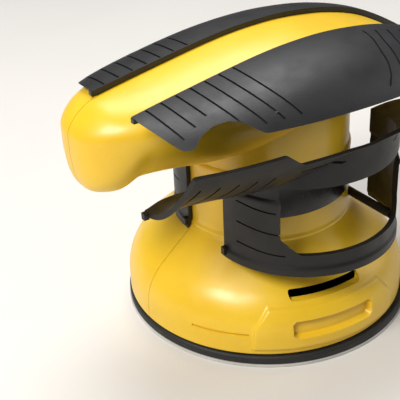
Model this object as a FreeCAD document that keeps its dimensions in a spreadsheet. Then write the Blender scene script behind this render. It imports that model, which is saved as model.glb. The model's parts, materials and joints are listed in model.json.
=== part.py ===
import FreeCAD, Part
import functools
import math
import os

import Sketcher
from FreeCAD import Placement, Rotation, Vector

# Random orbital sander with a 125 mm pad.  Millimetres, +Z up.
# The origin is on the motor axis, on the flat the sanding disc works on.
# +X runs along the handle from the nose (-X) to the cable end (+X).
# The casing parts on the plane y = 0: "near" parts are on -Y, "far" parts on +Y.

# ---------------------------------------------------------------- driving dimensions

DIMENSIONS = [
    ("pad_radius", 62.5, "sanding disc and backing pad"),
    ("disc_thick", 1.2, "paper, glue and hook backing"),
    ("pad_rim_top", 4.8, "height of the pad's thin rim"),
    ("pad_top", 10.0, "height of the pad's mounting face"),
    ("orbit_offset", 1.25, "crank of the eccentric, half the orbit"),
    ("dust_hole_radius", 4.5, "each hole in disc and pad"),
    ("dust_hole_circle", 32.5, "circle the holes lie on"),
    ("dust_hole_count", 8, "holes in disc and pad"),
    ("wall", 2.4, "casing wall"),
    ("seam_half_gap", 0.08, "each casing half stops this far from y = 0"),
    ("skirt_radius", 60.5, "bell round the pad"),
    ("skirt_bottom", 5.6, "lower edge of the bell"),
    ("bell_arc_radius", 23.0, "shoulder of the bell in section"),
    ("bell_arc_start", 12.5, "height where the shoulder starts"),
    ("bell_arc_angle", 50.0, "shoulder's turn before the straight slope"),
    ("bead_radius", 36.9, "bead at the foot of the neck"),
    ("neck_radius", 36.2, "motor neck below its step"),
    ("neck_upper_radius", 35.6, "motor neck above its step"),
    ("neck_step", 73.5, "height of the step"),
    ("neck_top", 98.0, "neck ends inside the handle"),
    ("handle_half_width", 37.0, "handle at its widest"),
    ("handle_nose", -87.5, "front end of the handle"),
    ("handle_tail", 90.5, "cable end of the handle"),
    ("section_power_top", 2.1, "squareness of the handle's upper half in section"),
    ("section_power_foot", 1.7, "squareness of the handle's lower half in section"),
    ("nose_power_top", 1.9, "the same for the nose, upper half"),
    ("nose_power_foot", 2.8, "the same for the nose, lower half"),
    ("cover_thick", 1.9, "rubber grip covers"),
    ("cover_gap", 0.3, "between a cover and the casing"),
    ("upper_pull", 28.0, "upper near cover, drawn this far off its seat"),
    ("lower_pull", 25.5, "lower near cover, drawn this far off its seat"),
    ("stud_radius", 1.8, "moulded guide studs of the near covers"),
    ("stud_clearance", 0.35, "radial play of a stud in its hole"),
    ("shaft_radius", 4.0, "motor shaft"),
    ("shaft_bottom", 24.4, "shaft's foot in the eccentric"),
    ("shaft_top", 106.0, "shaft above the upper bearing"),
    ("race_outer_radius", 11.0, "8 x 22 x 7 ball bearing"),
    ("race_width", 7.0, "8 x 22 x 7 ball bearing"),
    ("lower_bearing_z", 39.5, "underside of the lower bearing"),
    ("upper_bearing_z", 97.0, "underside of the upper bearing"),
    ("pad_race_outer", 13.0, "10 x 26 x 8 pad bearing"),
    ("pad_race_inner", 5.0, "10 x 26 x 8 pad bearing"),
    ("pad_race_width", 8.0, "10 x 26 x 8 pad bearing"),
    ("pad_bearing_z", 15.0, "underside of the pad bearing"),
    ("core_radius", 15.8, "armature stack"),
    ("air_gap", 0.6, "between armature and field"),
    ("field_radius", 27.0, "field stack outside"),
    ("stack_bottom", 52.0, "both stacks"),
    ("stack_top", 78.0, "both stacks"),
    ("commutator_radius", 9.0, "commutator"),
    ("commutator_z", 86.0, "underside of the commutator"),
    ("commutator_length", 9.0, "commutator"),
    ("fan_radius", 37.0, "cooling and dust fan"),
    ("fan_z", 31.0, "underside of the fan disc"),
    ("fan_blades", 14, "blades"),
]

doc = FreeCAD.newDocument("OrbitalSander")
sheet = doc.addObject("Spreadsheet::Sheet", "Dimensions")
for row, (alias, number, note) in enumerate(DIMENSIONS, start=1):
    sheet.set(f"A{row}", alias)
    sheet.set(f"B{row}", str(number))
    sheet.set(f"C{row}", note)
    sheet.setAlias(f"B{row}", alias)
doc.recompute()


class Size:
    """A length that keeps its number together with the sheet formula behind it."""

    def __init__(self, value, formula):
        self.value = value
        self.formula = formula

    def _join(self, sign, other, flip=False):
        right = other if isinstance(other, Size) else Size(float(other), repr(float(other)))
        first, second = (right, self) if flip else (self, right)
        value = {
            "+": first.value + second.value,
            "-": first.value - second.value,
            "*": first.value * second.value,
        }[sign]
        return Size(value, f"({first.formula} {sign} {second.formula})")

    def __add__(self, other):
        return self._join("+", other)

    def __radd__(self, other):
        return self._join("+", other, flip=True)

    def __sub__(self, other):
        return self._join("-", other)

    def __rsub__(self, other):
        return self._join("-", other, flip=True)

    def __mul__(self, other):
        return self._join("*", other)

    def __rmul__(self, other):
        return self._join("*", other, flip=True)

    def __neg__(self):
        return self._join("*", -1.0)


def size(alias):
    """The sheet's dimension of that name, as a Size."""
    return Size(float(sheet.get(alias)), f"Dimensions.{alias}")


def number(alias):
    """The sheet's dimension of that name, as a plain number."""
    return float(sheet.get(alias))


# ---------------------------------------------------------------- building helpers

UPRIGHT = Rotation()
ALONG_X = Rotation(Vector(0, 1, 0), 90)
ALONG_Y = Rotation(Vector(1, 0, 0), -90)

nodes = []


def node(feature, label):
    """Names a finished sub-part and puts it on the list to be written."""
    feature.Label = label
    nodes.append(feature)
    return feature


def bind(feature, name, amount):
    """Sets a property, by formula where the amount comes from the sheet."""
    if isinstance(amount, Size):
        setattr(feature, name, amount.value)
        feature.setExpression(name, amount.formula)
    else:
        setattr(feature, name, amount)


def put(feature, at, turn=UPRIGHT):
    """Places a feature; coordinates that are Sizes are bound to the sheet."""
    plain = [c.value if isinstance(c, Size) else float(c) for c in at]
    feature.Placement = Placement(Vector(*plain), turn)
    for axis, amount in zip("xyz", at):
        if isinstance(amount, Size):
            feature.setExpression(f"Placement.Base.{axis}", amount.formula)
    return feature


def cylinder(radius, height, at=(0, 0, 0), turn=UPRIGHT):
    feature = doc.addObject("Part::Cylinder", "Cylinder")
    bind(feature, "Radius", radius)
    bind(feature, "Height", height)
    return put(feature, at, turn)


def box(length, width, height, at, turn=UPRIGHT):
    """A block with its lowest corner at the given point."""
    feature = doc.addObject("Part::Box", "Block")
    bind(feature, "Length", length)
    bind(feature, "Width", width)
    bind(feature, "Height", height)
    return put(feature, at, turn)


def torus(ring_radius, tube_radius, at):
    feature = doc.addObject("Part::Torus", "Torus")
    bind(feature, "Radius1", ring_radius)
    bind(feature, "Radius2", tube_radius)
    return put(feature, at)


def fuse(*features):
    feature = doc.addObject("Part::MultiFuse", "Union")
    feature.Shapes = list(features)
    return feature


def group(*features):
    """Separate solids that share one node."""
    feature = doc.addObject("Part::Compound", "Group")
    feature.Links = list(features)
    return feature


def cut(base, *tools):
    feature = doc.addObject("Part::Cut", "Cut")
    feature.Base = base
    feature.Tool = tools[0] if len(tools) == 1 else fuse(*tools)
    return feature


def tube(outer, inner, height, at=(0, 0, 0), turn=UPRIGHT):
    return cut(cylinder(outer, height, at, turn), cylinder(inner, height, at, turn))


def ring_of(count, radius, make):
    """Calls make(x, y, degrees) for evenly spaced places round the Z axis."""
    made = []
    for step in range(count):
        degrees = 360.0 * step / count
        angle = math.radians(degrees)
        made.append(make(radius * math.cos(angle), radius * math.sin(angle), degrees))
    return made


def pin_vertex(sketch, line, amount, across):
    """Holds a line's start point at a distance from the sketch's X or Y axis."""
    value = amount.value if isinstance(amount, Size) else float(amount)
    if abs(value) < 1e-9:
        axis = -2 if across else -1
        sketch.addConstraint(Sketcher.Constraint("PointOnObject", line, 1, axis))
        return
    kind = "DistanceX" if across else "DistanceY"
    if value > 0:
        index = sketch.addConstraint(Sketcher.Constraint(kind, -1, 1, line, 1, value))
        formula = "{}"
    else:
        index = sketch.addConstraint(Sketcher.Constraint(kind, line, 1, -1, 1, -value))
        formula = "-({})"
    if isinstance(amount, Size):
        sketch.setExpression(f"Constraints[{index}]", formula.format(amount.formula))


def outline(body, plane, points):
    """A closed sketch of straight lines on one of the body's origin planes."""
    sketch = body.newObject("Sketcher::SketchObject", "Outline")
    support = [f for f in body.Origin.OriginFeatures if f.Role == plane][0]
    sketch.AttachmentSupport = [(support, "")]
    sketch.MapMode = "FlatFace"
    plain = [
        Vector(*[c.value if isinstance(c, Size) else float(c) for c in point], 0) for point in points
    ]
    for index, start in enumerate(plain):
        sketch.addGeometry(Part.LineSegment(start, plain[(index + 1) % len(plain)]), False)
    for index in range(len(plain)):
        following = (index + 1) % len(plain)
        sketch.addConstraint(Sketcher.Constraint("Coincident", index, 2, following, 1))
    for index, (across, up) in enumerate(points):
        pin_vertex(sketch, index, across, True)
        pin_vertex(sketch, index, up, False)
    return sketch


def turned(points, at=(0, 0, 0), turn=UPRIGHT):
    """A body turned about Z from (radius, height) points."""
    body = doc.addObject("PartDesign::Body", "Turned")
    sketch = outline(body, "XZ_Plane", points)
    revolution = body.newObject("PartDesign::Revolution", "Revolution")
    revolution.Profile = sketch
    revolution.ReferenceAxis = (sketch, ["V_Axis"])
    revolution.Angle = 360.0
    body.Tip = revolution
    sketch.Visibility = False
    return put(body, at, turn)


# ---------------------------------------------------------------- outer form

# Side outline of the handle before its ends are rounded off, and the height where it is widest: (x, z).
CROWN = [
    (-92, 106.3), (-77, 110), (-48, 115.7), (-20, 120.4), (0, 121.9),
    (16, 121.4), (34, 119), (52, 113.8), (72, 103.2), (92, 90),
]
BELLY = [
    (-92, 76.2), (-82, 75.6), (-73, 74.4), (-65, 76.4), (-53, 76.3), (-36, 74.4),
    (-10, 76), (34, 84.3), (52, 84.6), (66, 80), (78, 74), (92, 72),
]
SHOULDER = [(-92, 98), (-70, 100), (-36, 98.5), (0, 97.5), (34, 98.5), (56, 96), (74, 89), (92, 81)]
NOSE_ROUND = 13.0
TAIL_ROUND = 12.0
NOSE_BLEND = (-82.0, -66.0)
SECTION_POINTS = 36
STATIONS = 34


def follow(line, x):
    """Height of a smooth curve through the points of line, at x."""
    def slope(i):
        low, high = max(i - 1, 0), min(i + 1, len(line) - 1)
        return (line[high][1] - line[low][1]) / (line[high][0] - line[low][0])

    last = len(line) - 2
    i = next((k for k in range(last) if x < line[k + 1][0]), last)
    span = line[i + 1][0] - line[i][0]
    u = (x - line[i][0]) / span
    start, finish = line[i][1], line[i + 1][1]
    return (
        start * (1 + 2 * u) * (1 - u) ** 2
        + slope(i) * span * u * (1 - u) ** 2
        + finish * u * u * (3 - 2 * u)
        + slope(i + 1) * span * u * u * (u - 1)
    )


def handle_section(t, grow):
    """Half-width, middle, top and bottom of the handle at t, from -1 (nose) to 1 (tail)."""
    centre = (number("handle_nose") + number("handle_tail")) / 2
    reach = (number("handle_tail") - number("handle_nose")) / 2
    x = centre + t * reach
    half_width = number("handle_half_width") * (1 - t * t) ** 0.42
    crown, belly = follow(CROWN, x), follow(BELLY, x)
    middle = follow(SHOULDER, x)
    end, length = x - number("handle_nose"), NOSE_ROUND
    if t > 0:
        end, length = number("handle_tail") - x, TAIL_ROUND
    past = max(0.0, 1 - end / length)
    top_part = (1 - past**2) ** 0.6
    bottom_part = (1 - past**7) ** 0.5
    extra = grow * min(1.0, half_width / 12.0)
    top = middle + (crown - middle) * top_part + grow * min(1.0, top_part * 1.5)
    bottom = middle - (middle - belly) * bottom_part - grow * min(1.0, bottom_part * 1.5)
    return centre + t * (reach + grow), half_width + extra, middle, top, bottom


def section_powers(x):
    """Squareness of the upper and lower half of the section at x."""
    start, finish = NOSE_BLEND
    u = min(max((x - start) / (finish - start), 0.0), 1.0)
    u = u * u * (3 - 2 * u)
    return [number(f"nose_power_{h}") * (1 - u) + number(f"section_power_{h}") * u for h in ("top", "foot")]


def section_wire(x, half_width, middle, top, bottom):
    """A closed, squarish oval across the handle at x."""
    upper, lower = section_powers(x)
    halves = []
    for side in (1, -1):
        points = []
        for step in range(SECTION_POINTS // 2 + 1):
            angle = side * math.pi / 2 - math.pi * step / (SECTION_POINTS // 2)
            c, s = math.cos(angle), math.sin(angle)
            c = 0.0 if abs(c) < 1e-9 else c
            power = 2.0 / (upper if s > 0 else lower)
            y = half_width * math.copysign(abs(c) ** power, c)
            height = top - middle if s > 0 else middle - bottom
            points.append(Vector(x, y, middle + height * math.copysign(abs(s) ** power, s)))
        curve = Part.BSplineCurve()
        way = Vector(0, side, 0)
        curve.interpolate(Points=points, InitialTangent=way, FinalTangent=way * -1)
        halves.append(curve.toShape())
    return Part.Wire(halves)


def handle_solid(grow):
    wires = []
    for step in range(STATIONS + 1):
        t = -math.cos(math.pi * step / STATIONS) * 0.9985
        wires.append(section_wire(*handle_section(t, grow)))
    return Part.makeLoft(wires, True, False)


def bell_and_neck(grow, foot):
    """The bell, bead and motor neck as one turned solid, offset outward by grow."""
    arc_radius = number("bell_arc_radius")
    centre_r = number("skirt_radius") - arc_radius
    centre_z = number("bell_arc_start")
    turn = math.radians(number("bell_arc_angle"))

    def on_arc(angle):
        reach = arc_radius + grow
        return Vector(centre_r + reach * math.cos(angle), 0, centre_z + reach * math.sin(angle))

    shoulder = on_arc(turn)
    bead = number("bead_radius") + grow
    bead_z = shoulder.z + (shoulder.x - bead) / math.tan(turn)
    neck = number("neck_radius") + grow
    upper = number("neck_upper_radius") + grow
    step_z = number("neck_step") + grow * 0.3
    top = number("neck_top") + min(grow, 0)
    path = [
        Vector(bead, 0, bead_z),
        Vector(bead, 0, bead_z + 1.4),
        Vector(neck, 0, bead_z + 2.6),
        Vector(neck, 0, step_z),
        Vector(upper, 0, step_z + 0.9),
        Vector(upper, 0, top),
        Vector(0, 0, top),
        Vector(0, 0, foot),
        Vector(number("skirt_radius") + grow, 0, foot),
    ]
    edges = [Part.LineSegment(path[-1], on_arc(0)).toShape()]
    edges.append(Part.Arc(on_arc(0), on_arc(turn / 2), shoulder).toShape())
    edges.append(Part.LineSegment(shoulder, path[0]).toShape())
    edges += [Part.LineSegment(a, b).toShape() for a, b in zip(path, path[1:])]
    face = Part.Face(Part.Wire(edges))
    return face.revolve(Vector(0, 0, 0), Vector(0, 0, 1), 360)


@functools.cache
def outer_form(grow, foot=None):
    """Handle, neck and bell in one solid, offset by grow."""
    foot = number("skirt_bottom") if foot is None else foot
    return handle_solid(grow).fuse(bell_and_neck(grow, foot))


def side_prism(points, near, far):
    """A prism whose outline is given in side view (x, z), from y = near to y = far."""
    corners = [Vector(x, near, z) for x, z in points]
    face = Part.Face(Part.makePolygon(corners + corners[:1]))
    return face.extrude(Vector(0, far - near, 0))


def rounded_prism(width, height, radius, depth):
    """A round-cornered prism along -Y from the XZ plane, centred on the Y axis."""
    w, h = width / 2, height / 2
    plate = Part.makeBox(width, depth, height, Vector(-w, -depth, -h))
    upright = [e for e in plate.Edges if abs(e.BoundBox.YLength - depth) < 1e-6]
    return plate.makeFillet(min(radius, h - 0.05), upright)


def made(label, shape, at=(0, 0, 0)):
    """A sub-part whose shape is worked out from the sheet's numbers."""
    feature = doc.addObject("Part::Feature", label)
    feature.Shape = shape
    return node(put(feature, at), label)


# Degrees by which the bell's vent and pocket sit round from the -Y direction.
FRONT_TURN = -9.0


def on_bell(shape, z):
    """Moves a shape built facing -Y to the bell's front at height z."""
    moved = shape.copy()
    moved.translate(Vector(0, 0, z))
    moved.rotate(Vector(0, 0, 0), Vector(0, 0, 1), FRONT_TURN)
    return moved


# ---------------------------------------------------------------- casing halves

SCREW_PLACES = [(-68, 90), (-45, 84), (66.5, 97.6), (-17, 112.5), (24, 112.5)]
STUD_PLACES = {"lower": [(-29.2, 46.8), (29.2, 46.8)], "upper": [(-35.0, 111.5), (45.0, 110.5)]}
STUD_ENDS = {"lower": 12.0, "upper": 9.0}
PLATE_BOSS_CIRCLE = 31.6
PLATE_TOP = 43.0
SCREW_HEAD_SEAT = 13.0
SWITCH_X = 80.0
SWITCH_Z = 88.4
ROCKER_PIN_X = SWITCH_X - 1.5
GLAND_Z = 80.7


def y_rod(x, z, radius, start, finish):
    return Part.makeCylinder(radius, abs(finish - start), Vector(x, min(start, finish), z), Vector(0, 1, 0))


def casing_features():
    """The casing before it is parted: shell, bell boss, vent, pocket and openings."""
    solid = outer_form(0)
    hollow = outer_form(-number("wall"), foot=-5)
    boss_outline = [(-32, 10.4), (-31.2, 18), (-25, 25.4), (24, 25.4), (30.5, 18), (31.2, 10.4)]
    boss_block = on_bell(side_prism(boss_outline, -75, -30), 0)
    boss = bell_and_neck(1.3, 9).common(boss_block)
    shell = solid.fuse(boss).cut(hollow)
    vent = on_bell(rounded_prism(32, 3.6, 1.7, 90), 28.7)
    pocket_depth = bell_and_neck(-1.4, 5).copy()
    pocket = on_bell(rounded_prism(35, 6.8, 2.2, 90), 16.8).cut(pocket_depth)
    slit_ring = side_prism([(-80, 14.3), (80, 14.3), (80, 15.2), (-80, 15.2)], -80, 0)
    slit_wedge = Part.makeCylinder(80, 40, Vector(0, 0, 0), Vector(0, 0, 1), 23)
    slit_wedge.rotate(Vector(0, 0, 0), Vector(0, 0, 1), 204.7)
    slit = slit_ring.common(slit_wedge).cut(bell_and_neck(-0.9, 5))
    plate = plate_blank(0.06)
    rear = Part.makeBox(14, 13.0, 6.0, Vector(SWITCH_X, -6.5, SWITCH_Z - 3.0))
    inlet = Part.makeCylinder(4.0, 12, Vector(84, 0, GLAND_Z), Vector(1, 0, 0))
    for tool in (vent, pocket, slit, plate, rear, inlet):
        shell = shell.cut(tool)
    return shell


def plate_blank(play):
    """The blank badge plate let into the near side of the neck."""
    outside = number("neck_radius") + 0.1 + play
    band = Part.makeCylinder(outside, 16.0 + 2 * play, Vector(0, 0, 54.0 - play))
    band = band.cut(Part.makeCylinder(number("neck_radius") - 0.9 - play, 40, Vector(0, 0, 45)))
    window = rounded_prism(64 + 2 * play, 16 + 2 * play, 6, 60)
    window.translate(Vector(0, 0, 62.0))
    return band.common(window)


def half_of(shape, side):
    """The part of a shape on one side of the seam; side is -1 for near, 1 for far."""
    gap = number("seam_half_gap")
    low = gap if side > 0 else -200 - gap
    return shape.common(Part.makeBox(400, 200, 300, Vector(-200, low, -50)))


def bosses(side, inside):
    """Screw pillars, plate pillars and motor ribs that stand in one casing half."""
    gap = number("seam_half_gap")
    parts = []
    for x, z in SCREW_PLACES:
        parts.append(y_rod(x, z, 4.0, side * gap, side * 45).common(inside))
    wall_inside = number("neck_radius") - number("wall")
    for degrees in (45, 135):
        angle = math.radians(side * degrees)
        at = Vector(PLATE_BOSS_CIRCLE * math.cos(angle), PLATE_BOSS_CIRCLE * math.sin(angle), PLATE_TOP)
        parts.append(Part.makeCylinder(3.4, 7.5, at).common(Part.makeCylinder(wall_inside + 0.6, 100)))
    for degrees in (62, 118):
        inner = number("field_radius")
        rib = Part.makeBox(wall_inside + 0.5 - inner, 3, 24, Vector(inner, -1.5, 53))
        rib.rotate(Vector(0, 0, 0), Vector(0, 0, 1), side * degrees)
        parts.append(rib)
    return parts


def casing_half(label, side, whole, inside):
    half = half_of(whole, side)
    for part in bosses(side, inside):
        half = half.fuse(part)
    for x, z in SCREW_PLACES:
        if side > 0:
            half = half.cut(y_rod(x, z, 1.7, -1, SCREW_HEAD_SEAT + 1))
            half = half.cut(y_rod(x, z, 3.3, SCREW_HEAD_SEAT, 60))
        else:
            half = half.cut(y_rod(x, z, 1.5, -12.5, 1))
    for degrees in (45, 135):
        angle = math.radians(side * degrees)
        at = Vector(PLATE_BOSS_CIRCLE * math.cos(angle), PLATE_BOSS_CIRCLE * math.sin(angle), PLATE_TOP - 1)
        half = half.cut(Part.makeCylinder(1.3, 7, at))
    if side < 0:
        radius = number("stud_radius") + number("stud_clearance")
        for places in STUD_PLACES.values():
            for x, z in places:
                half = half.cut(y_rod(x, z, radius, -60, 0))
    return made(label, half)


# ---------------------------------------------------------------- grip covers

# Outlines of the covers in side view (x, z): the upper one's front and finger arch, then its rear.
UPPER_EDGE = [(-76, 130), (-76, 112.5), (-70.2, 107.1), (-66.4, 107.6)]
ARCH = [(-63.3, 110), (-57.6, 112.1), (-52, 112.8), (-47.7, 111.9), (-45.2, 110.2), (-42.7, 108.6)]
UPPER_REST = [(30, 108.5), (84, 99), (84, 130)]
LOWER_OUTLINE = [
    (-74.6, 64), (-73.5, 69), (-66.7, 96.5), (-35, 98.6), (-28, 93), (56, 92),
    (64, 70), (44, 66), (44, 42.1), (-44, 42.1), (-44, 58),
]
WINDOW = [(-29.5, 57.5), (-29.5, 79), (29.5, 81), (29.5, 57), (24, 51.8), (-24, 51.2)]
BAND_RADIUS = 39.1


def cover_layer():
    gap = number("cover_gap")
    return outer_form(gap + number("cover_thick")).cut(outer_form(gap))


def cover_shape(kind, layer, side):
    """One grip cover on its seat; side is -1 for near, 1 for far."""
    far = side * 70
    if kind == "upper":
        cover = layer.common(side_prism(UPPER_EDGE + ARCH + UPPER_REST, side * 0.1, far))
    else:
        cover = layer.common(side_prism(LOWER_OUTLINE, side * 0.1, far))
        cover = cover.cut(side_prism(WINDOW, side * 2, far))
        foot = Vector(0, 0, 30)
        cover = cover.cut(Part.makeCylinder(80, 20, foot).cut(Part.makeCylinder(BAND_RADIUS, 20, foot)))
    return cover


def studs(kind):
    """Guide studs of a near cover: from its inside face through the casing wall."""
    gap = number("cover_gap")
    body = outer_form(gap + number("cover_thick") * 0.8)
    rods = []
    for x, z in STUD_PLACES[kind]:
        outside = y_rod(x, z, number("stud_radius"), -60, 0).cut(outer_form(gap))
        rod = y_rod(x, z, number("stud_radius"), outside.BoundBox.YMax - 8.0, STUD_ENDS[kind])
        rods.append(rod.common(body))
    return rods


def near_cover(kind, layer):
    cover = cover_shape(kind, layer, -1)
    for rod in studs(kind):
        cover = cover.fuse(rod)
    made(f"{kind}_grip_near", cover, (0, -size(f"{kind}_pull"), 0))


def build_casing():
    whole = casing_features()
    inside = outer_form(-0.6)
    casing_half("casing_near", -1, whole, inside)
    casing_half("casing_far", 1, whole, inside)
    layer = cover_layer()
    made("upper_grip_far", cover_shape("upper", layer, 1))
    made("lower_grip_far", cover_shape("lower", layer, 1))
    near_cover("upper", layer)
    near_cover("lower", layer)
    made("badge_plate", plate_blank(0))


build_casing()

# ---------------------------------------------------------------- pad and disc

ORBIT = size("orbit_offset")


def dust_holes(height, at_z):
    holes = ring_of(
        int(number("dust_hole_count")),
        number("dust_hole_circle"),
        lambda x, y, degrees: cylinder(size("dust_hole_radius"), height, (x + ORBIT, y, at_z)),
    )
    return fuse(*holes)


def build_pad():
    disc = cylinder(size("pad_radius"), size("disc_thick"), (ORBIT, 0, 0))
    node(cut(disc, dust_holes(6.0, -2.0)), "sanding_disc")

    under = size("disc_thick")
    rim = size("pad_rim_top")
    top = size("pad_top")
    edge = size("pad_radius") - 0.3
    profile = [
        (7.5, under), (edge, under), (edge, rim - 1.2), (edge - 1.2, rim), (edge - 5.5, rim),
        (edge - 9.0, top), (3.0, top), (3.0, 5.0), (7.5, 5.0),
    ]
    pad = turned(profile, (ORBIT, 0, 0))
    node(cut(pad, dust_holes(20.0, -2.0)), "backing_pad")

    node(tube(7.2, 2.7, 0.8, (ORBIT, 0, 4.2)), "pad_washer")
    head = cylinder(4.6, 2.2, (ORBIT, 0, 2.0))
    socket = cylinder(2.0, 1.4, (ORBIT, 0, 1.5))
    shank = cylinder(2.5, 16.0, (ORBIT, 0, 4.0))
    node(cut(fuse(head, shank), socket), "pad_screw")

    race = size("pad_race_inner")
    foot = size("pad_bearing_z")
    crown = foot + size("pad_race_width")
    spindle = [
        (2.5, top), (18.0, top), (18.0, top + 3.0), (7.2, top + 3.6), (7.2, foot), (race, foot),
        (race, crown), (2.5, crown),
    ]
    node(turned(spindle, (ORBIT, 0, 0)), "pad_spindle")


build_pad()

# ---------------------------------------------------------------- ball bearings


def bearing(name, inner, outer, width, at, balls):
    """Outer race, inner race and balls as three nodes, their axis along Z."""
    wall = (outer.value - inner.value) * 0.28
    ball = (outer.value - inner.value) * 0.24
    track = (outer.value + inner.value) / 2
    x, y, z = at
    middle = (x, y, z + width * 0.5)
    groove = torus(track, ball + 0.08, middle)
    node(cut(tube(outer, outer - wall, width, at), groove), f"{name}_outer_race")
    groove = torus(track, ball + 0.08, middle)
    node(cut(tube(inner + wall, inner, width, at), groove), f"{name}_inner_race")

    def place(dx, dy, degrees):
        sphere = doc.addObject("Part::Sphere", "Ball")
        sphere.Radius = ball
        return put(sphere, (x + dx, y + dy, middle[2]))

    node(group(*ring_of(balls, track, place)), f"{name}_balls")


def build_bearings():
    shaft = size("shaft_radius")
    outer, width = size("race_outer_radius"), size("race_width")
    nowhere = Size(0.0, "0.0")
    bearing("lower_bearing", shaft, outer, width, (nowhere, nowhere, size("lower_bearing_z")), 7)
    bearing("upper_bearing", shaft, outer, width, (nowhere, nowhere, size("upper_bearing_z")), 7)
    pad_at = (ORBIT, nowhere, size("pad_bearing_z"))
    bearing("pad_bearing", size("pad_race_inner"), size("pad_race_outer"), size("pad_race_width"), pad_at, 8)


build_bearings()

# ---------------------------------------------------------------- rotor


def build_rotor():
    shaft = size("shaft_radius")
    foot = size("shaft_bottom")
    node(cylinder(shaft, size("shaft_top") - foot, (0, 0, foot)), "motor_shaft")

    # The eccentric carries the pad bearing off-centre, and its heavy side balances the pad.
    hub = cylinder(16.5, 16.0, (0, 0, 14.6))
    sector = cut(
        cylinder(32.0, 5.6, (0, 0, 24.6)), box(80.0, 80.0, 20.0, (-6.0, -40.0, 20.0))
    )
    pocket = cylinder(size("pad_race_outer"), 8.6, (ORBIT, 0, 14.5))
    relief = cylinder(8.4, 1.2, (ORBIT, 0, 23.0))
    bore = cylinder(shaft, 20.0, (0, 0, foot))
    node(cut(fuse(hub, sector), pocket, relief, bore), "eccentric_counterweight")

    fan_foot = size("fan_z")
    disc = fuse(cylinder(size("fan_radius"), 1.4, (0, 0, fan_foot)), cylinder(9.0, 6.0, (0, 0, fan_foot)))
    blade_length = number("fan_radius") - 1.0 - 8.0

    def blade(x, y, degrees):
        vane = box(blade_length, 1.4, 5.4, (8.0, -0.7, fan_foot))
        return put(vane, (x, y, fan_foot), Rotation(Vector(0, 0, 1), degrees + 18))

    vanes = ring_of(int(number("fan_blades")), 8.0, blade)
    fan = fuse(disc, *vanes)
    trim = tube(60.0, number("fan_radius"), 20.0, (0, 0, 25.0))
    node(cut(fan, cylinder(shaft, 20.0, (0, 0, 25.0)), trim), "fan")

    bottom, top = size("stack_bottom"), size("stack_top")
    core = cylinder(size("core_radius"), top - bottom, (0, 0, bottom))

    def slot(x, y, degrees):
        return box(6.0, 2.2, 40.0, (x, y, 45.0), Rotation(Vector(0, 0, 1), degrees))

    slots = ring_of(12, number("core_radius") - 5.0, slot)
    node(cut(core, cylinder(shaft, 40.0, (0, 0, 45.0)), *slots), "armature_core")

    winding = size("core_radius") - 2.0
    lower = turned([(shaft, 47.6), (winding - 2, 47.6), (winding, 49.5), (winding, bottom), (shaft, bottom)])
    upper = turned([(shaft, top), (winding, top), (winding, 81.0), (winding - 3, 84.4), (shaft, 84.4)])
    node(group(lower, upper), "armature_windings")

    ring = tube(size("commutator_radius"), shaft, size("commutator_length"), (0, 0, size("commutator_z")))

    def mica(x, y, degrees):
        return box(2.0, 0.5, 12.0, (x, y, 85.0), Rotation(Vector(0, 0, 1), degrees))

    node(cut(ring, *ring_of(18, number("commutator_radius") - 1.0, mica)), "commutator")
    clip_z = size("upper_bearing_z") + size("race_width")
    node(tube(6.2, shaft, 1.0, (0, 0, clip_z)), "shaft_retaining_ring")


build_rotor()

# ---------------------------------------------------------------- field, brushes and brackets


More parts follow.
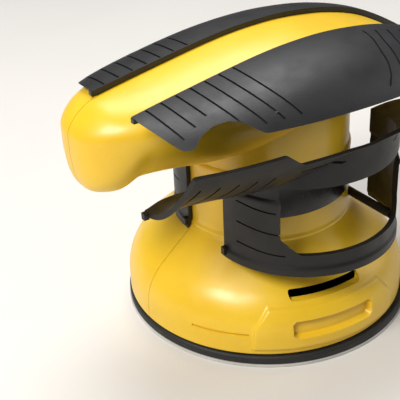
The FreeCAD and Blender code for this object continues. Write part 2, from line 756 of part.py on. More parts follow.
def build_motor_frame():
    bottom, top = size("stack_bottom"), size("stack_top")
    bore = size("core_radius") + size("air_gap")
    stack = tube(size("field_radius"), bore, top - bottom, (0, 0, bottom))

    def leg(radial, width, height, z, degrees):
        angle = math.radians(degrees)
        along, across = Vector(math.cos(angle), math.sin(angle)), Vector(-math.sin(angle), math.cos(angle))
        at = along * (17.8 + (4.6 - radial) / 2) - across * (width / 2)
        return box(radial, width, height, (at.x, at.y, z), Rotation(Vector(0, 0, 1), degrees))

    leg_angles = (35, 145, 215, 325)
    node(cut(stack, *[leg(5.0, 5.4, 60.0, 40.0, a) for a in leg_angles]), "field_stack")

    coils = []
    for first, second in ((35, 145), (215, 325)):
        ends = []
        for z in (48.0, top + 0.4):
            arc = cylinder(22.4, 3.8, (0, 0, z))
            arc.Angle = second - first + 14
            arc.Placement = Placement(arc.Placement.Base, Rotation(Vector(0, 0, 1), first - 7))
            ends.append(cut(arc, cylinder(17.8, 8.0, (0, 0, z))))
        legs = [leg(4.6, 5.0, 33.0, 49.0, a) for a in (first, second)]
        coils.append(fuse(*ends, *legs))
    node(group(*coils), "field_coils")

    # Plate across the foot of the neck: it holds the lower bearing.
    neck_inside = size("neck_radius") - size("wall")
    race = size("race_outer_radius")
    seat = size("lower_bearing_z")
    plate = turned([
        (race, seat), (14.5, seat - 0.5), (neck_inside, 40.0), (neck_inside, PLATE_TOP),
        (14.5, PLATE_TOP), (14.5, 47.0), (race, 47.0),
    ])
    vents = ring_of(4, 23.0, lambda x, y, degrees: cylinder(4.0, 10.0, (x, y, 36.0)))
    turn = math.radians(45)
    holes = [
        cylinder(1.6, 10.0, (PLATE_BOSS_CIRCLE * math.cos(a), PLATE_BOSS_CIRCLE * math.sin(a), 36.0))
        for a in (turn, 3 * turn, 5 * turn, 7 * turn)
    ]
    node(cut(plate, *vents, *holes), "lower_bearing_plate")
    screws = []
    for a in (turn, 3 * turn, 5 * turn, 7 * turn):
        x, y = PLATE_BOSS_CIRCLE * math.cos(a), PLATE_BOSS_CIRCLE * math.sin(a)
        head = cylinder(2.6, 1.8, (x, y, 37.9))
        screws.append(fuse(head, cylinder(1.3, 8.9, (x, y, 39.5))))
    node(group(*screws), "plate_screws")

    cushion_z = size("upper_bearing_z")
    node(tube(13.2, race, size("race_width"), (0, 0, cushion_z)), "upper_bearing_cushion")
    bar = box(26.0, 63.0, 4.0, (-13.0, -31.5, 98.5))
    hub = cylinder(16.0, size("race_width"), (0, 0, cushion_z))
    node(cut(fuse(bar, hub), cylinder(13.2, 20.0, (0, 0, 90.0))), "upper_bearing_bracket")

    holders, brushes, springs = [], [], []
    for side in (-1, 1):
        middle = number("commutator_z") + number("commutator_length") / 2
        reach = number("commutator_radius")
        inner_end, outer_end = reach + 2.2, reach + 21.0
        low = min(side * inner_end, side * outer_end)
        case = box(outer_end - inner_end, 9.0, 8.4, (low, -4.5, middle - 4.2))
        low = min(side * (inner_end - 1), side * (outer_end - 1.5))
        channel = box(outer_end - inner_end - 0.5, 6.4, 5.4, (low, -3.2, middle - 2.7))
        holders.append(cut(case, channel))
        low = min(side * (reach + 0.06), side * (reach + 12.0))
        brushes.append(box(11.94, 6.0, 5.0, (low, -3.0, middle - 2.5)))
        springs.append(spring(side, reach + 12.3, reach + 19.2, middle))
    node(group(*holders), "brush_holders")
    node(group(*brushes), "carbon_brushes")
    made("brush_springs", Part.makeCompound(springs))


def spring(side, start, finish, z):
    """A wire spring lying along X behind a brush."""
    wire_radius, coil_radius, turns = 0.25, 1.9, 6
    helix = Part.makeHelix((finish - start) / turns, finish - start, coil_radius)
    section = Part.Wire([Part.makeCircle(wire_radius, Vector(coil_radius, 0, 0), Vector(0, 1, 0))])
    coil = Part.Wire(helix.Edges).makePipeShell([section], True, True)
    coil.rotate(Vector(0, 0, 0), Vector(0, 1, 0), side * 90)
    coil.translate(Vector(side * start, 0, z))
    return coil


build_motor_frame()

# ---------------------------------------------------------------- electrical parts and fasteners


def build_electrics():
    switch = box(13.5, 12.4, 5.4, (SWITCH_X - 14.0, -6.2, SWITCH_Z - 2.7))
    pocket = box(6.0, 10.4, 4.2, (SWITCH_X - 4.0, -5.2, SWITCH_Z - 2.1))
    pin_hole = cylinder(0.9, 14.0, (ROCKER_PIN_X, -7.0, SWITCH_Z), ALONG_Y)
    node(cut(switch, pocket, pin_hole), "switch_body")
    rocker = [
        (SWITCH_X - 3.0, SWITCH_Z - 1.1), (SWITCH_X + 1.0, SWITCH_Z - 1.7), (SWITCH_X + 3.2, SWITCH_Z - 1.9),
        (SWITCH_X + 2.2, SWITCH_Z), (SWITCH_X + 3.8, SWITCH_Z + 1.9), (SWITCH_X + 1.0, SWITCH_Z + 1.7),
        (SWITCH_X - 3.0, SWITCH_Z + 1.1),
    ]
    pin = y_rod(ROCKER_PIN_X, SWITCH_Z, 0.8, -5.9, 5.9)
    made("switch_rocker", side_prism(rocker, -4.9, 4.9).fuse(pin))
    gland = turned(
        [(2.9, 0), (4.6, 0), (4.6, 1.8), (3.9, 1.8), (3.9, 9.6), (2.9, 9.6)], (81.6, 0, GLAND_Z), ALONG_X
    )
    node(gland, "cable_inlet_bush")
    node(box(15.0, 12.0, 9.0, (47.0, -6.0, 90.0)), "terminal_block")
    node(box(15.0, 13.0, 10.0, (-63.0, -6.5, 88.0)), "suppressor_capacitor")

    screws = []
    for x, z in SCREW_PLACES:
        shank = cylinder(1.45, 24.5, (x, -11.5, z), ALONG_Y)
        head = cylinder(3.0, 2.4, (x, SCREW_HEAD_SEAT, z), ALONG_Y)
        slot = box(1.0, 2.0, 8.0, (x - 0.5, SCREW_HEAD_SEAT + 1.4, z - 4.0))
        screws.append(cut(fuse(shank, head), slot))
    node(group(*screws), "casing_screws")


build_electrics()

# ---------------------------------------------------------------- check and write

doc.recompute()
for feature in doc.Objects:
    if "Invalid" in feature.State or "Error" in feature.State:
        raise RuntimeError(f"{feature.Label} failed: {feature.State}")
for feature in nodes:
    if feature.Shape.isNull() or not feature.Shape.isValid():
        raise RuntimeError(f"{feature.Label} has no valid shape")

os.makedirs("parts", exist_ok=True)
for feature in nodes:
    feature.Shape.exportStep(f"parts/{feature.Label}.step")
    solids = feature.Shape.Solids
    print(f"{feature.Label}: {len(solids)} solid(s), {sum(s.Volume for s in solids):.0f} mm3")
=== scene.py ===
import json
import math

import bmesh
import bpy
import numpy as np
from mathutils import Matrix, Vector


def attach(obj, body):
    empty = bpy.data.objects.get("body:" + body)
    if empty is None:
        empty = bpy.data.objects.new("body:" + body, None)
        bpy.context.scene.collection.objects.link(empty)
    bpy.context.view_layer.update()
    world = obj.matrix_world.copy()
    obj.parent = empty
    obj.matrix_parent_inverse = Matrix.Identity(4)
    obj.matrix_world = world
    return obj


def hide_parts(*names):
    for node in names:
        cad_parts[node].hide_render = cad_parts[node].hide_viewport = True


# Looks of the orbital sander.  Shapes are worked out in millimetres in the CAD frame:
# +Z up the motor axis, +X from the nose to the cable end, the casing parted on y = 0.

MM = 0.001

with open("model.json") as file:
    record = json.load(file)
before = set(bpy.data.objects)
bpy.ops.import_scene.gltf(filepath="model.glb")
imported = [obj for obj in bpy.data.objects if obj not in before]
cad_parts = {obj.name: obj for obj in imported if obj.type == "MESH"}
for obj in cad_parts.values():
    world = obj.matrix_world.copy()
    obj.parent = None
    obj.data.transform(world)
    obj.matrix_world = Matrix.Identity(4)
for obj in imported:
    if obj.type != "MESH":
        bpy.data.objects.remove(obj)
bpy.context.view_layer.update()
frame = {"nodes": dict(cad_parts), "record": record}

# ---------------------------------------------------------------- outer form of the casing

NOSE, TAIL = -87.5, 90.5
HALF_WIDTH = 37.0
NOSE_ROUND, TAIL_ROUND = 13.0, 12.0
UPPER_POWER, LOWER_POWER = 2.1, 1.7
NOSE_UPPER, NOSE_LOWER = 1.9, 2.8
CROWN = [
    (-92, 106.3), (-77, 110), (-48, 115.7), (-20, 120.4), (0, 121.9),
    (16, 121.4), (34, 119), (52, 113.8), (72, 103.2), (92, 90),
]
BELLY = [
    (-92, 76.2), (-82, 75.6), (-73, 74.4), (-65, 76.4), (-53, 76.3), (-36, 74.4),
    (-10, 76), (34, 84.3), (52, 84.6), (66, 80), (78, 74), (92, 72),
]
SHOULDER = [(-92, 98), (-70, 100), (-36, 98.5), (0, 97.5), (34, 98.5), (56, 96), (74, 89), (92, 81)]
SKIRT_RADIUS, SKIRT_BOTTOM = 60.5, 5.6
ARC_RADIUS, ARC_START, ARC_TURN = 23.0, 12.5, math.radians(50)
BEAD_RADIUS = 36.9
NECK_RADIUS, NECK_UPPER, NECK_STEP, NECK_TOP = 36.2, 35.6, 73.5, 98.0
WALL = 2.4
SEAM = 0.14
COVER_GAP, COVER_THICK = 0.3, 1.9


def follow(line, x):
    """Height of a smooth curve through the points of line, at x."""

    def slope(i):
        low, high = max(i - 1, 0), min(i + 1, len(line) - 1)
        return (line[high][1] - line[low][1]) / (line[high][0] - line[low][0])

    last = len(line) - 2
    i = next((k for k in range(last) if x < line[k + 1][0]), last)
    span = line[i + 1][0] - line[i][0]
    u = (x - line[i][0]) / span
    return (
        line[i][1] * (1 + 2 * u) * (1 - u) ** 2
        + slope(i) * span * u * (1 - u) ** 2
        + line[i + 1][1] * u * u * (3 - 2 * u)
        + slope(i + 1) * span * u * u * (u - 1)
    )


def step_up(value, start, end):
    """0 before start, 1 after end, smooth between them."""
    u = min(max((value - start) / (end - start), 0.0), 1.0)
    return u * u * (3 - 2 * u)


def handle_section(t, grow):
    """Place, half-width, middle, top and bottom of the handle at t, from -1 (nose) to 1 (tail)."""
    centre, reach = (NOSE + TAIL) / 2, (TAIL - NOSE) / 2
    x = centre + t * reach
    half_width = HALF_WIDTH * (1 - t * t) ** 0.42
    crown, belly = follow(CROWN, x), follow(BELLY, x)
    middle = follow(SHOULDER, x)
    end, length = (x - NOSE, NOSE_ROUND) if t < 0 else (TAIL - x, TAIL_ROUND)
    past = max(0.0, 1 - end / length)
    top_part = (1 - past**2) ** 0.6
    bottom_part = (1 - past**7) ** 0.5
    wide = half_width + grow * min(1.0, half_width / 12.0)
    top = middle + (crown - middle) * top_part + grow * min(1.0, top_part * 1.5)
    bottom = middle - (middle - belly) * bottom_part - grow * min(1.0, bottom_part * 1.5)
    return centre + t * (reach + grow), wide, middle, top, bottom


def powers(x):
    """Squareness of the upper and lower half of the section at x."""
    u = step_up(x, -82.0, -66.0)
    return NOSE_UPPER + (UPPER_POWER - NOSE_UPPER) * u, NOSE_LOWER + (LOWER_POWER - NOSE_LOWER) * u


def handle_ring(t, grow, count):
    x, wide, middle, top, bottom = handle_section(t, grow)
    upper, lower = powers(x)
    ring = []
    for k in range(count):
        angle = 2 * math.pi * (k + 0.5) / count
        c, s = math.cos(angle), math.sin(angle)
        power = 2 / (upper if s > 0 else lower)
        rise = (top - middle if s > 0 else middle - bottom) * math.copysign(abs(s) ** power, s)
        ring.append(Vector((x, wide * math.copysign(abs(c) ** power, c), middle + rise)))
    return ring


def section_at(x, grow):
    """Half-width, middle, top and bottom of the handle at x."""
    centre, reach = (NOSE + TAIL) / 2, (TAIL - NOSE) / 2
    t = min(max((x - centre) / (reach + grow), -0.9999), 0.9999)
    return handle_section(t, grow)[1:]


def half_at(x, z, grow):
    """Half-width and middle of the handle at x, with the height and squareness of the half z is in."""
    wide, middle, top, bottom = section_at(x, grow)
    upper, lower = powers(x)
    if z > middle:
        return wide, middle, max(top - middle, 0.01), upper
    return wide, middle, max(middle - bottom, 0.01), lower


def inside_handle(x, y, z, grow):
    """Below 1 inside the handle, 1 on its surface."""
    wide, middle, height, power = half_at(x, z, grow)
    return (abs(y) / wide) ** power + (abs(z - middle) / height) ** power


def handle_y(x, z, grow):
    """Distance of the handle's side from y = 0 at a point in side view."""
    wide, middle, height, power = half_at(x, z, grow)
    rest = 1 - min(abs(z - middle) / height, 1.0) ** power
    return wide * rest ** (1 / power)


def neck_profile(grow, foot):
    """(radius, height) points of the bell, bead and neck, from the foot up."""
    arc_r, arc_z = SKIRT_RADIUS - ARC_RADIUS, ARC_START
    radius = ARC_RADIUS + grow
    points = [(SKIRT_RADIUS + grow - 0.5, foot), (SKIRT_RADIUS + grow - 0.15, foot + 0.15)]
    points += [(SKIRT_RADIUS + grow, foot + 0.5 + h) for h in np.linspace(0, arc_z - foot - 1.0, 14)]
    for angle in np.linspace(0, ARC_TURN, 40):
        points.append((arc_r + radius * math.cos(angle), arc_z + radius * math.sin(angle)))
    r0, z0 = points[-1]
    bead = BEAD_RADIUS + grow
    bead_z = z0 + (r0 - bead) / math.tan(ARC_TURN)
    points += [(r0 + (bead - r0) * u, z0 + (bead_z - z0) * u) for u in (0.15, 0.35, 0.55, 0.75, 0.9, 0.96)]
    neck = NECK_RADIUS + grow
    shelf = bead - neck
    points += [(bead, bead_z + 0.35), (bead, bead_z + 0.9)]
    points += [(bead - shelf * 0.2, bead_z + 1.4), (bead - shelf * 0.7, bead_z + 1.9)]
    points += [(neck, bead_z + 2.9)]
    points += [(neck, h) for h in np.linspace(bead_z + 4.5, NECK_STEP - 3.5, 14)]
    upper = NECK_UPPER + grow
    points += [(neck + 0.25, NECK_STEP - 2.2), (neck + 0.3, NECK_STEP - 1.0), (neck, NECK_STEP - 0.1)]
    points += [(upper + 0.1, NECK_STEP + 0.5), (upper, NECK_STEP + 1.3)]
    points += [(upper, h) for h in np.linspace(NECK_STEP + 2.5, NECK_TOP + min(grow, 0), 12)]
    return points


# ---------------------------------------------------------------- relief of the bell

FRONT = math.radians(-99)
BOSS = [(-32, 8.5), (-31.2, 18), (-25, 25.4), (24, 25.4), (30.5, 18), (31.2, 8.5)]
POCKET_CENTRE, POCKET_HALF, POCKET_CORNER = (0.4, 16.8), (17.5, 3.4), 2.2
BOSS_PROUD, POCKET_DEPTH = 1.3, 2.7


def inside_outline(outline, u, v):
    """Least distance inside the straight sides of a convex outline listed clockwise; negative outside."""
    least = 1e9
    for (u0, v0), (u1, v1) in zip(outline, outline[1:] + outline[:1]):
        length = math.hypot(u1 - u0, v1 - v0)
        least = min(least, ((v1 - v0) * (u - u0) * -1 + (u1 - u0) * (v - v0)) * -1 / length)
    return least


def inside_rounded(centre, half, corner, u, v):
    """Distance inside a round-cornered rectangle; negative outside."""
    du = abs(u - centre[0]) - half[0] + corner
    dv = abs(v - centre[1]) - half[1] + corner
    outside = math.hypot(max(du, 0), max(dv, 0)) + min(max(du, dv), 0)
    return corner - outside


def bell_relief(angle, radius, z):
    turn = (angle - FRONT + math.pi) % (2 * math.pi) - math.pi
    if abs(turn) > 0.9 or z > 30:
        return 0.0
    across = radius * math.sin(turn)
    proud = BOSS_PROUD * step_up(inside_outline(BOSS, across, z), -0.4, 0.5)
    in_pocket = inside_rounded(POCKET_CENTRE, POCKET_HALF, POCKET_CORNER, across, z)
    sunk = POCKET_DEPTH * step_up(in_pocket, -0.25, 0.3)
    return proud - sunk


# ---------------------------------------------------------------- mesh building


def mesh_object(name, points, faces):
    """A mesh from points in millimetres, its faces turned outward."""
    mesh = bpy.data.meshes.new(name)
    mesh.from_pydata([tuple(Vector(p) * MM) for p in points], [], faces)
    built = bmesh.new()
    built.from_mesh(mesh)
    bmesh.ops.remove_doubles(built, verts=built.verts, dist=1e-7)
    bmesh.ops.recalc_face_normals(built, faces=built.faces)
    built.to_mesh(mesh)
    built.free()
    obj = bpy.data.objects.new(name, mesh)
    bpy.context.scene.collection.objects.link(obj)
    return obj


def lofted(name, rings):
    """A closed solid through rings of equal count, capped at both ends."""
    count = len(rings[0])
    points = [p for ring in rings for p in ring]
    faces = []
    for r in range(len(rings) - 1):
        for k in range(count):
            a, b = r * count + k, r * count + (k + 1) % count
            faces.append((a, b, b + count, a + count))
    faces.append(tuple(reversed(range(count))))
    faces.append(tuple(range(len(points) - count, len(points))))
    return mesh_object(name, points, faces)


def combine(target, tool, operation):
    """Unites the target with the tool, cuts the tool from it, or keeps what they share."""
    modifier = target.modifiers.new("combine", "BOOLEAN")
    modifier.operation = operation
    modifier.solver = "EXACT"
    modifier.object = tool
    bpy.context.view_layer.objects.active = target
    bpy.ops.object.modifier_apply(modifier=modifier.name)
    bpy.data.objects.remove(tool)
    return target


def copy_of(obj, name):
    twin = obj.copy()
    twin.data = obj.data.copy()
    twin.name = name
    bpy.context.scene.collection.objects.link(twin)
    return twin


def join(objects, name):
    """Several meshes as one object."""
    whole = bmesh.new()
    for obj in objects:
        whole.from_mesh(obj.data)
    mesh = bpy.data.meshes.new(name)
    whole.to_mesh(mesh)
    whole.free()
    for obj in objects:
        bpy.data.objects.remove(obj)
    joined = bpy.data.objects.new(name, mesh)
    bpy.context.scene.collection.objects.link(joined)
    return joined


def block(low, high):
    rings = []
    for z in (low[2], high[2]):
        rings.append([(low[0], low[1], z), (high[0], low[1], z), (high[0], high[1], z), (low[0], high[1], z)])
    return lofted("block", rings)


def prism_y(outline, y0, y1):
    """A prism whose outline is given in side view (x, z)."""
    return lofted("prism", [[(x, y, z) for x, z in outline] for y in (y0, y1)])


def rod_y(x, z, radius, y0, y1, count=40):
    angles = np.linspace(0, 2 * math.pi, count, False)
    ring = [(x + radius * math.cos(a), z + radius * math.sin(a)) for a in angles]
    return prism_y(ring, y0, y1)


def rounded(outline, radius, steps=4):
    """An outline with its corners rounded; radius may be shortened by short sides."""
    result = []
    count = len(outline)
    for i in range(count):
        p, a, b = Vector(outline[i]), Vector(outline[i - 1]), Vector(outline[(i + 1) % count])
        reach = min(radius, (a - p).length * 0.45, (b - p).length * 0.45)
        start, end = p + (a - p).normalized() * reach, p + (b - p).normalized() * reach
        for k in range(steps + 1):
            u = k / steps
            result.append(tuple(start * (1 - u) ** 2 + p * 2 * u * (1 - u) + end * u**2))
    return result


def handle_solid(grow, stations, count):
    rings = []
    for k in range(stations + 1):
        rings.append(handle_ring(-math.cos(math.pi * k / stations) * 0.9985, grow, count))
    return lofted("handle", rings)


def neck_solid(grow, foot, angles, detailed):
    rings = []
    for r, z in neck_profile(grow, foot):
        ring = []
        for a in angles:
            extra = bell_relief(a, r, z) if detailed and z < 40 else 0.0
            ring.append(((r + extra) * math.cos(a), (r + extra) * math.sin(a), z))
        rings.append(ring)
    return lofted("neck", rings)


def evenly(count):
    return [2 * math.pi * (k + 0.5) / count for k in range(count)]


def denser_in_front(count):
    """Angles round the axis, closer together over the bell's boss."""
    angles = []
    step = 0.0
    angle = FRONT + math.pi
    end = angle + 2 * math.pi
    while angle < end - 0.004:
        turn = abs((angle - FRONT + math.pi) % (2 * math.pi) - math.pi)
        step = 2 * math.pi / count * (0.3 if turn < 0.72 else 1.0)
        angles.append(angle)
        angle += step
    return angles


def outer_form(grow, foot=SKIRT_BOTTOM, fine=False):
    """Handle, neck and bell in one solid, offset by grow."""
    handle = handle_solid(grow, 150 if fine else 96, 144 if fine else 104)
    angles = denser_in_front(220) if fine else evenly(128)
    return combine(handle, neck_solid(grow, foot, angles, fine), "UNION")


def normals_by_angle(obj, degrees=32):
    obj.data.shade_smooth()
    obj.data.set_sharp_from_angle(angle=math.radians(degrees))


# ---------------------------------------------------------------- casing halves


def surface_of(grow):
    """Radius of the bell or neck at a height."""
    profile = neck_profile(grow, SKIRT_BOTTOM)
    heights = [z for _, z in profile]
    radii = [r for r, _ in profile]
    return lambda z: float(np.interp(z, heights, radii))


def swept_cutter(path, outward, width, depth):
    """A square-section bar along a path on a surface, reaching depth below it."""
    rings = []
    for i, p in enumerate(path):
        ahead = path[min(i + 1, len(path) - 1)] - path[max(i - 1, 0)]
        side = ahead.cross(outward[i]).normalized() * (width / 2)
        low, high = p - outward[i] * depth, p + outward[i] * 1.5
        rings.append([low - side, low + side, high + side * 1.4, high - side * 1.4])
    return lofted("groove", rings)


def bell_window(half_across, z_low, z_high, corner):
    outline = [(-half_across, z_low), (-half_across, z_high), (half_across, z_high), (half_across, z_low)]
    window = lofted("vent", [[(u, y, v) for u, v in rounded(outline, corner, 6)] for y in (-75, -30)])
    window.data.transform(Matrix.Rotation(FRONT + math.pi / 2, 4, "Z"))
    return window


def bell_slit():
    radius = surface_of(0)(14.7)
    angles = np.radians(np.linspace(-155.3, -132.3, 16))
    outward = [Vector((math.cos(a), math.sin(a), 0)) for a in angles]
    path = [n * radius + Vector((0, 0, 14.7)) for n in outward]
    return swept_cutter(path, outward, 0.9, 0.9)


SCREW_PLACES = [(-68, 90), (-45, 84), (66.5, 97.6), (-17, 112.5), (24, 112.5)]
STUD_PLACES = {"lower": [(-29.2, 46.8), (29.2, 46.8)], "upper": [(-35.0, 111.5), (45.0, 110.5)]}
STUD_ENDS = {"lower": -12.0, "upper": -9.0}
STUD_RADIUS, STUD_HOLE = 1.8, 2.15


def casing():
    """Both casing halves, cut from one hollow form."""
    whole = outer_form(0, fine=True)
    combine(whole, outer_form(-WALL, foot=-5), "DIFFERENCE")
    combine(whole, bell_window(16, 26.9, 30.5, 1.7), "DIFFERENCE")
    combine(whole, bell_slit(), "DIFFERENCE")
    combine(whole, block((80, -6.5, 85.4), (100, 6.5, 91.4)), "DIFFERENCE")
    inlet = rod_y(0, 0, 4.0, 84, 100)
    inlet.data.transform(Matrix.Translation((0, 0, 0.0807)) @ Matrix.Rotation(-math.pi / 2, 4, "Z"))
    combine(whole, inlet, "DIFFERENCE")
    near = copy_of(whole, "casing_near_shell")
    combine(near, block((-200, -200, -50), (200, -SEAM, 200)), "INTERSECT")
    for places in STUD_PLACES.values():
        for x, z in places:
            combine(near, rod_y(x, z, STUD_HOLE, -60, 0), "DIFFERENCE")
    plate = plate_blank(0.15)
    combine(near, plate, "DIFFERENCE")
    far = whole
    far.name = "casing_far_shell"
    combine(far, block((-200, SEAM, -50), (200, 200, 200)), "INTERSECT")
    for x, z in SCREW_PLACES:
        combine(far, rod_y(x, z, 3.3, 14, 60), "DIFFERENCE")
    return near, far


def neck_drum(radius, low, high):
    """A plain drum round the motor axis."""
    ring = [(radius * math.cos(a), radius * math.sin(a)) for a in evenly(360)]
    return lofted("drum", [[(x, y, z) for x, y in ring] for z in (low, high)])


def plate_blank(play):
    """The blank plate let into the near side of the neck, larger all round by play."""
    half, low, high = 32 + play, 54 - play, 70 + play
    outline = [(-half, low), (-half, high), (half, high), (half, low)]
    plate = prism_y(rounded(outline, 6, 8), -60, -8)
    plate.name = "badge_plate_face"
    combine(plate, neck_drum(NECK_RADIUS - 0.9 - play, 40, 85), "DIFFERENCE")
    if play == 0:
        combine(plate, neck_drum(NECK_RADIUS + 0.1, 41, 84), "INTERSECT")
    return plate


# ---------------------------------------------------------------- grip covers

UPPER_EDGE = [(-76, 130), (-76, 112.5), (-70.2, 107.1), (-66.4, 107.6)]
ARCH = [(-63.3, 110), (-57.6, 112.1), (-52, 112.8), (-47.7, 111.9), (-45.2, 110.2), (-42.7, 108.6)]
UPPER_REST = [(30, 108.5), (84, 99), (84, 130)]
LOWER_OUTLINE = [
    (-74.6, 64), (-73.5, 69), (-66.7, 96.5), (-35, 98.6), (-28, 93), (56, 92),
    (64, 70), (44, 66), (44, 42.1), (-44, 42.1), (-44, 58),
]
WINDOW = [(-29.5, 57.5), (-29.5, 79), (29.5, 81), (29.5, 57), (24, 51.8), (-24, 51.2)]
BAND_RADIUS = 39.1
TABS = {
    "upper": [((-76.2, 0.4, 110.9), (-74.2, 2.4, 112.6))],
    "lower": [((-40.1, 0.4, 43.4), (-37.9, 2.4, 46.6)), ((-73.9, 0.4, 71.4), (-71.8, 2.6, 74.0))],
}
PULL = {"upper": 28.0, "lower": 25.5}


def cover_layer():
    layer = outer_form(COVER_GAP + COVER_THICK)
    return combine(layer, outer_form(COVER_GAP), "DIFFERENCE")


def groove_on_handle(places, side, width, depth):
    """A groove on a seated cover through points given in plan (x, y) or by (x, None, z)."""
    grow = COVER_GAP + COVER_THICK
    path, outward = [], []
    for x, y, z in places:
        if y is None:
            y = handle_y(x, z, grow)
        p = Vector((x, side * y, z))
        path.append(p)
    for p in path:
        outward.append(surface_normal(p, grow))
    return swept_cutter(path, outward, width, depth)


def surface_normal(p, grow):
    step = 0.05
    slope = []
    for axis in range(3):
        ahead, behind = p.copy(), p.copy()
        ahead[axis] += step
        behind[axis] -= step
        slope.append(inside_handle(*ahead, grow) - inside_handle(*behind, grow))
    return Vector(slope).normalized()


def top_z(x, y, grow):
    """Height of the handle's upper surface over (x, y)."""
    wide, middle, height, power = half_at(x, 1000, grow)
    rest = 1 - min(abs(y) / wide, 1.0) ** power
    return middle + height * rest ** (1 / power)


FRONT_REACH = [20.9, 19.3, 17.4, 27.3, 29.3, 30.6, 31.5]
REAR_CURVES = [
    [(21.6, 5.8), (20.3, 12.5), (17.4, 20), (16, 25.8), (13.5, 30.4), (10.6, 33.2)],
    [(27.1, 6.7), (23.7, 15), (22.3, 21.1), (20.9, 25.8), (19.4, 30.6)],
    [(32.6, 7.4), (29.6, 15), (28.2, 21.1), (27, 25.8), (25.8, 30)],
    [(38.4, 7.8), (35.8, 15), (34.4, 21), (33.2, 26)],
    [(44.4, 8), (42.2, 15), (40.8, 21)],
]


def upper_grooves(side):
    """Front grooves and the rear curved ones, as bars to cut with."""
    grow = COVER_GAP + COVER_THICK
    bars = []
    for k, reach in enumerate(FRONT_REACH):
        places = []
        for y in np.linspace(0.9, reach, 28):
            x = -70.5 + 6.0 * k + 0.0012 * y**2.5
            places.append((x, y, top_z(x, y, grow)))
        bars.append(groove_on_handle(places, side, 0.75, 0.75))
    for curve in REAR_CURVES:
        places = []
        for u in np.linspace(0, len(curve) - 1, 24):
            k = min(int(u), len(curve) - 2)
            (x0, y0), (x1, y1) = curve[k], curve[k + 1]
            x, y = x0 + (x1 - x0) * (u - k), y0 + (y1 - y0) * (u - k)
            places.append((x, y, top_z(x, y, grow)))
        bars.append(groove_on_handle(places, side, 0.7, 0.7))
    return bars


def neck_groove(x0, z0, x1, z1, side, rise=0.0):
    """A groove across the lower cover's band, from (x0, z0) to (x1, z1) in side view."""
    radius = NECK_RADIUS + COVER_GAP + COVER_THICK
    path, outward = [], []
    for u in np.linspace(0, 1, 16):
        x, z = x0 + (x1 - x0) * u, z0 + (z1 - z0) * u + rise * math.sin(math.pi * u)
        y = math.sqrt(radius**2 - x * x)
        path.append(Vector((x, side * y, z)))
        outward.append(Vector((x, side * y, 0)).normalized())
    return swept_cutter(path, outward, 0.6, 0.6)


def wing_groove(places, side):
    """A groove along points given in side view (x, z) on the lower cover's wing."""
    fine = []
    for u in np.linspace(0, len(places) - 1, 20):
        k = min(int(u), len(places) - 2)
        (x0, z0), (x1, z1) = places[k], places[k + 1]
        fine.append((x0 + (x1 - x0) * (u - k), None, z0 + (z1 - z0) * (u - k)))
    return groove_on_handle(fine, side, 0.65, 0.65)


def lower_grooves(side):
    bars = []
    for k in range(5):
        x = -64.5 + 6.6 * k
        bars.append(wing_groove([(x, 91.0 - 0.2 * k), (x - 2.2, 85.5), (x - 5.4, 80.5)], side))
    bars.append(wing_groove([(-27.5, 89.2), (-10, 89.6), (12, 90.0), (40, 90.0)], side))
    for k in range(3):
        z = 70.0 - 9.0 * k
        bars.append(neck_groove(-37.6, z, -30.6 + 1.2 * k, z - 1.6, side, -0.5))
    return bars


def band_trim():
    """A ring that takes the lower edge of the band back to one radius."""
    profile = [(BAND_RADIUS, 30), (80, 30), (80, 50), (BAND_RADIUS, 50)]
    rings = [[(r * math.cos(a), r * math.sin(a), z) for r, z in profile] for a in evenly(192)]
    points = [p for ring in rings for p in ring]
    faces = []
    for i in range(192):
        j = (i + 1) % 192
        for k in range(4):
            m = (k + 1) % 4
            faces.append((i * 4 + k, i * 4 + m, j * 4 + m, j * 4 + k))
    return mesh_object("band_trim", points, faces)


def covers(kind, layer):
    pair = []
    for side in (-1, 1):
        if kind == "upper":
            outline = rounded(UPPER_EDGE + ARCH + UPPER_REST, 1.2)
        else:
            outline = rounded(LOWER_OUTLINE, 1.0)
        cover = copy_of(layer, f"{kind}_grip_{'near' if side < 0 else 'far'}_skin")
        combine(cover, prism_y(outline, side * 0.15, side * 70), "INTERSECT")
        if kind == "lower":
            combine(cover, prism_y(rounded(WINDOW, 0.8), side * 2, side * 70), "DIFFERENCE")
            combine(cover, band_trim(), "DIFFERENCE")
            for bar in lower_grooves(side):
                combine(cover, bar, "DIFFERENCE")
        else:
            for bar in upper_grooves(side):
                combine(cover, bar, "DIFFERENCE")
        for low, high in TABS[kind]:
            corner_a, corner_b = (low[0], side * low[1], low[2]), (high[0], side * high[1], high[2])
            combine(cover, block(corner_a, corner_b), "UNION")
        if side < 0:
            for x, z in STUD_PLACES[kind]:
                wall = handle_y(x, z, COVER_GAP) if kind == "upper" else math.sqrt(NECK_RADIUS**2 - x**2)
                combine(cover, rod_y(x, z, STUD_RADIUS, -wall - 1.2, -STUD_ENDS[kind]), "UNION")
            cover.data.transform(Matrix.Translation((0, -PULL[kind] * MM, 0)))
        pair.append(cover)
    return pair


# ---------------------------------------------------------------- materials


def shader(name, base, roughness, **sockets):
    """A new material with its Principled shader set; returns the material, its tree and its shader."""
    material = bpy.data.materials.new(name)
    material.use_nodes = True
    tree = material.node_tree
    principled = tree.nodes["Principled BSDF"]
    principled.inputs["Base Color"].default_value = (*base, 1)
    principled.inputs["Roughness"].default_value = roughness
    for socket, value in sockets.items():
        principled.inputs[socket.replace("_", " ")].default_value = value
    return material, tree, principled


def add(tree, kind, inputs=None, **settings):
    made = tree.nodes.new(kind)
    for key, value in settings.items():
        setattr(made, key, value)
    for key, value in (inputs or {}).items():
        if isinstance(value, bpy.types.NodeSocket):
            tree.links.new(value, made.inputs[key])
        else:
            made.inputs[key].default_value = value
    return made


